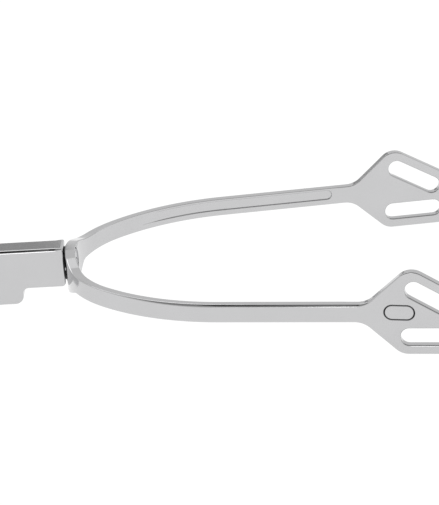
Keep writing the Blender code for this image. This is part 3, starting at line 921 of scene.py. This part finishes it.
def thread_tree(material):
    """Cuts a helical thread into the outside of a rod along X that is centred on the axis."""
    tree = bpy.data.node_groups.new("cut_thread", "GeometryNodeTree")
    tree.interface.new_socket("Rod", in_out="INPUT", socket_type="NodeSocketGeometry")
    for name in ("Pitch", "Depth", "Start", "End", "Rod Radius"):
        tree.interface.new_socket(name, in_out="INPUT", socket_type="NodeSocketFloat")
    tree.interface.new_socket("Screw", in_out="OUTPUT", socket_type="NodeSocketGeometry")
    given = add(tree, "NodeGroupInput").outputs
    place = add(tree, "GeometryNodeInputPosition").outputs[0]
    parts = add(tree, "ShaderNodeSeparateXYZ", {0: place}).outputs
    value = {name: given[name] for name in ("Pitch", "Depth", "Start", "End", "Rod Radius")}
    value.update({"x": parts["X"], "y": parts["Y"], "z": parts["Z"]})
    steps = (
        ("around", "ARCTAN2", "y", "z"),
        ("around", "DIVIDE", "around", 2 * math.pi),
        ("turns", "DIVIDE", "x", "Pitch"),
        ("turns", "SUBTRACT", "turns", "around"),
        ("ridge", "PINGPONG", "turns", 0.5),
        ("flank", "MULTIPLY_ADD", "ridge", 2.6, -0.15),
        ("flank", "MAXIMUM", "flank", 0.0),
        ("flank", "MINIMUM", "flank", 1.0),
        ("run in", "SUBTRACT", "x", "Start"),
        ("run in", "DIVIDE", "run in", "Pitch"),
        ("run out", "SUBTRACT", "End", "x"),
        ("run out", "DIVIDE", "run out", "Pitch"),
        ("fade", "MINIMUM", "run in", "run out"),
        ("fade", "MINIMUM", "fade", 1.0),
        ("fade", "MAXIMUM", "fade", 0.0),
        ("from axis", "MULTIPLY", "y", "y"),
        ("from axis", "MULTIPLY_ADD", "z", "z", "from axis"),
        ("from axis", "SQRT", "from axis"),
        ("skin", "MULTIPLY", "Rod Radius", 0.99),
        ("outside", "GREATER_THAN", "from axis", "skin"),
        ("cut", "MULTIPLY", "flank", "fade"),
        ("cut", "MULTIPLY", "cut", "Depth"),
        ("cut", "MULTIPLY", "cut", "outside"),
        ("reach", "MAXIMUM", "from axis", 1e-6),
        ("share", "DIVIDE", "cut", "reach"),
        ("share", "SUBTRACT", 1.0, "share"),
        ("cut y", "MULTIPLY", "y", "share"),
        ("cut z", "MULTIPLY", "z", "share"))
    for name, operation, *terms in steps:
        inputs = {slot: value.get(term, term) for slot, term in enumerate(terms)}
        value[name] = add(tree, "ShaderNodeMath", inputs, operation=operation).outputs[0]
    formed = add(tree, "ShaderNodeCombineXYZ", {
        "X": parts["X"], "Y": value["cut y"], "Z": value["cut z"]})
    threaded = add(tree, "GeometryNodeSetPosition", {
        "Geometry": given["Rod"], "Position": formed.outputs[0]})
    real = add(tree, "GeometryNodeRealizeInstances", {0: threaded.outputs[0]})
    finished = add(tree, "GeometryNodeSetMaterial", {"Geometry": real.outputs[0], "Material": material})
    add(tree, "NodeGroupOutput", {0: finished.outputs[0]})
    return tree


screw_low, screw_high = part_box("pivot_screw")
head_radius = (screw_high.z - screw_low.z) / 2
head_top, screw_tip = screw_high.x, screw_low.x
chamfer = SCREW_CHAMFER * MM
journal = JOURNAL_RADIUS * MM
thread_end = screw_tip + THREAD_LENGTH * MM
head_underside = head_top - SCREW_HEAD_THICKNESS * MM
flat_radius = SOCKET_ACROSS_FLATS / 2 * MM
socket_floor = head_top - SOCKET_DEPTH * MM
screw_rings = [
    (socket_floor - SOCKET_POINT * MM, 0.02 * MM),
    (socket_floor, flat_radius * 0.9, 6),
    (socket_floor + SMALL_BREAK * MM, flat_radius, 6),
    (head_top - SOCKET_MOUTH * MM, flat_radius, 6),
    (head_top, flat_radius * 1.08),
    (head_top, flat_radius * 1.25),
    (head_top, head_radius - chamfer * 1.3),
    (head_top - chamfer * 0.3, head_radius - chamfer * 0.6),
    (head_top - chamfer, head_radius),
    (head_underside + SMALL_BREAK * MM, head_radius),
    (head_underside, head_radius - SMALL_BREAK * MM),
    (head_underside, journal + NECK_BREAK * MM),
    (head_underside - NECK_BREAK * MM, journal)]
ring_gap = THREAD_PITCH / THREAD_STEPS * MM
ring_count = int((thread_end - screw_tip - chamfer) / ring_gap)
for number in range(ring_count + 1):
    screw_rings.append((thread_end - number * ring_gap, journal))
screw_rings.append((screw_tip + chamfer, journal))
screw_rings.append((screw_tip, journal - 2 * chamfer))
pivot_screw = turned("pivot_screw_socket_head", screw_rings, 0.0, closed=False, sides=48)
screw_steel = turned_metal("cold_headed_stainless", "#B7B7B9", "#C6C6C8", 0.26, 0.1, 1e-6)
shape_with(pivot_screw, thread_tree(screw_steel), {
    "Pitch": THREAD_PITCH * MM, "Depth": THREAD_DEPTH * MM, "Start": screw_tip,
    "End": thread_end, "Rod Radius": journal})
pivot_screw.data.transform(Matrix.Translation((0.0, 0.0, swivel_z)))
finish_shading(pivot_screw)
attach(pivot_screw, "swivel_shank")
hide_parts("pivot_screw")

# ================================================================= grub screw
# A cup-point grub screw, driven from below into the neck with a 1.5 mm key, locks the pivot
# screw. It is hardened, threaded all along and oiled nearly black.

GRUB_PITCH = 0.5
GRUB_DEPTH = 0.28
GRUB_SOCKET = 1.5
GRUB_SOCKET_DEPTH = 1.2
GRUB_TIP_CHAMFER = 0.3
GRUB_TOP_CHAMFER = 0.12
GRUB_CUP_DEPTH = 0.25
GRUB_CUP_RADIUS = 0.3

grub_low, grub_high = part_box("grub_screw")
grub_radius = (grub_high.x - grub_low.x) / 2
grub_length = grub_high.z - grub_low.z
grub_flat = GRUB_SOCKET / 2 * MM
grub_rings = [
    (GRUB_SOCKET_DEPTH * MM, 0.02 * MM),
    ((GRUB_SOCKET_DEPTH - 0.2) * MM, grub_flat, 6),
    (0.08 * MM, grub_flat, 6),
    (0.0, grub_flat * 1.15),
    (0.0, grub_radius - 0.15 * MM),
    (GRUB_TOP_CHAMFER * MM, grub_radius)]
grub_gap = GRUB_PITCH / THREAD_STEPS * MM
grub_end = grub_length - GRUB_TIP_CHAMFER * MM
for number in range(1, int((grub_end - GRUB_TOP_CHAMFER * MM) / grub_gap)):
    grub_rings.append((GRUB_TOP_CHAMFER * MM + number * grub_gap, grub_radius))
grub_rings.append((grub_end, grub_radius))
grub_rings.append((grub_length, grub_radius - GRUB_TIP_CHAMFER * MM))
grub_rings.append((grub_length - GRUB_CUP_DEPTH * MM, GRUB_CUP_RADIUS * MM))
grub_screw = turned("grub_screw_cup_point", grub_rings, 0.0, closed=False, sides=36)
grub_steel = turned_metal("oiled_screw_steel", "#58585A", "#6A6A6C", 0.3, 0.06, 1e-6)
shape_with(grub_screw, thread_tree(grub_steel), {
    "Pitch": GRUB_PITCH * MM, "Depth": GRUB_DEPTH * MM, "Start": 0.1 * MM,
    "End": grub_length, "Rod Radius": grub_radius})
grub_screw.data.transform(
    Matrix.Translation(((grub_low.x + grub_high.x) / 2, 0.0, grub_low.z))
    @ Matrix.Rotation(-math.pi / 2, 4, "Y"))
finish_shading(grub_screw)
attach(grub_screw, "swivel_shank")
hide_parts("grub_screw")

# ================================================================= floor, light and camera
# The spur lies on a white light table in a plain studio with pale walls. One soft light hangs
# above and behind it, and the cards round it give the polished edges their dark and light lines.

FLOOR_SIZE = 8.0
FLOOR_GLOW = 0.95
SURROUND = 0.8
CARD_HALF_WIDTH = 1.2
CARD_DISTANCE = 1.5
SOFTBOX_ANGLE = 59.0                # from the horizon behind the spur, over the top
SOFTBOX_SPREAD = 13.0
SOFTBOX_GLOW = 1.12
SOFTBOX_END = -0.13                 # it hangs over the shank; a dimmer pale card goes on beside it
PALE_CARD_GLOW = 0.95
DARK_CARD_ANGLES = (73.0, 153.0)    # a black card hangs between two grey ones
BLACK_CARD_START = -0.31
BLACK_CARD_END = -0.18
WHITE_CARD_ANGLES = (155.0, 178.0)
WHITE_CARD_GLOW = 1.4
REAR_CARD_DISTANCE = 0.6            # it shades the top of the shank
REAR_CARD_SIDES = (-0.45, -0.109)
REAR_CARD_HEIGHTS = (0.12, 0.36)


def stage_panel(name, corners, colour, glow=0.0):
    mesh = bpy.data.meshes.new(name)
    mesh.from_pydata(corners, [], [tuple(range(len(corners)))])
    panel = bpy.data.objects.new(name, mesh)
    bpy.context.scene.collection.objects.link(panel)
    material, tree, shader = new_material(name + "_surface")
    shader.inputs["Base Color"].default_value = linear(colour)
    shader.inputs["Roughness"].default_value = 0.9
    shader.inputs["Specular IOR Level"].default_value = 0.0
    shader.inputs["Emission Color"].default_value = (1.0, 1.0, 1.0, 1.0)
    shader.inputs["Emission Strength"].default_value = glow
    mesh.materials.append(material)
    return panel


def overhead_card(name, angles, left, right, colour, glow=0.0):
    """Card that spans these angles over the spur, as seen in its polished edges."""
    corners = []
    for angle, x in ((angles[0], left), (angles[0], right), (angles[1], right), (angles[1], left)):
        around = math.radians(angle)
        corners.append((x, CARD_DISTANCE * math.cos(around), CARD_DISTANCE * math.sin(around)))
    card = stage_panel(name, corners, colour, glow)
    card.visible_camera = False


half_floor = FLOOR_SIZE / 2
stage_panel("floor", [(-half_floor, -half_floor, 0), (half_floor, -half_floor, 0),
                      (half_floor, half_floor, 0), (-half_floor, half_floor, 0)], "#707070", FLOOR_GLOW)
overhead_card("left_grey_card", DARK_CARD_ANGLES, -CARD_HALF_WIDTH, BLACK_CARD_START, "#9A9A9A")
overhead_card("black_card", DARK_CARD_ANGLES, BLACK_CARD_START, BLACK_CARD_END, "#303030")
overhead_card("right_grey_card", DARK_CARD_ANGLES, BLACK_CARD_END, CARD_HALF_WIDTH, "#9A9A9A")
overhead_card("white_card", WHITE_CARD_ANGLES, BLACK_CARD_START, BLACK_CARD_END, "#FFFFFF",
              WHITE_CARD_GLOW)
overhead_card("pale_card", (SOFTBOX_ANGLE - SOFTBOX_SPREAD / 2, SOFTBOX_ANGLE + SOFTBOX_SPREAD / 2),
              SOFTBOX_END, CARD_HALF_WIDTH, "#707070", PALE_CARD_GLOW)
left, right = REAR_CARD_SIDES
low, high = REAR_CARD_HEIGHTS
rear_card = stage_panel("rear_card", [
    (x, REAR_CARD_DISTANCE, z) for x, z in ((left, low), (right, low), (right, high), (left, high))],
    "#C0C0C0")
rear_card.visible_camera = False

softbox = bpy.data.lights.new("softbox", "AREA")
softbox.shape = "RECTANGLE"
softbox.size = CARD_HALF_WIDTH + SOFTBOX_END
softbox.size_y = 2 * CARD_DISTANCE * math.tan(math.radians(SOFTBOX_SPREAD / 2))
softbox.energy = SOFTBOX_GLOW * math.pi * softbox.size * softbox.size_y
softbox_turn = math.radians(SOFTBOX_ANGLE)
softbox_stand = bpy.data.objects.new("softbox", softbox)
softbox_stand.location = ((SOFTBOX_END - CARD_HALF_WIDTH) / 2,
                          CARD_DISTANCE * math.cos(softbox_turn),
                          CARD_DISTANCE * math.sin(softbox_turn))
softbox_stand.rotation_euler = (softbox_turn - math.pi / 2, 0.0, 0.0)
softbox_stand.visible_camera = False
bpy.context.scene.collection.objects.link(softbox_stand)

world = bpy.data.worlds.new("studio")
bpy.context.scene.world = world
world.use_nodes = True
world.node_tree.nodes["Background"].inputs["Color"].default_value = (SURROUND, SURROUND, SURROUND, 1)

CAMERA_AZIMUTH = 2.59
CAMERA_ELEVATION = 23.0
CAMERA_ROLL = -4.11
CAMERA_PLACE = (0.02536, -0.54321, 0.24255)
CAMERA_LENS = 165.44

azimuth = math.radians(CAMERA_AZIMUTH)
elevation = math.radians(CAMERA_ELEVATION)
roll = math.radians(CAMERA_ROLL)
backward = Vector((math.sin(azimuth) * math.cos(elevation),
                   -math.cos(azimuth) * math.cos(elevation), math.sin(elevation)))
level_right = Vector((math.cos(azimuth), math.sin(azimuth), 0.0))
level_up = level_right.cross(-backward)
camera_x = math.cos(roll) * level_right + math.sin(roll) * level_up
camera_y = math.cos(roll) * level_up - math.sin(roll) * level_right
lens = bpy.data.cameras.new("camera")
lens.lens = CAMERA_LENS
lens.sensor_width = 36.0
lens.clip_start = 0.01
camera = bpy.data.objects.new("camera", lens)
turn = Matrix((camera_x, camera_y, backward)).transposed()
camera.matrix_world = Matrix.Translation(CAMERA_PLACE) @ turn.to_4x4()
bpy.context.scene.collection.objects.link(camera)
bpy.context.scene.camera = camera
bpy.context.scene.view_settings.view_transform = "Standard"
bpy.context.scene.view_settings.look = "None"
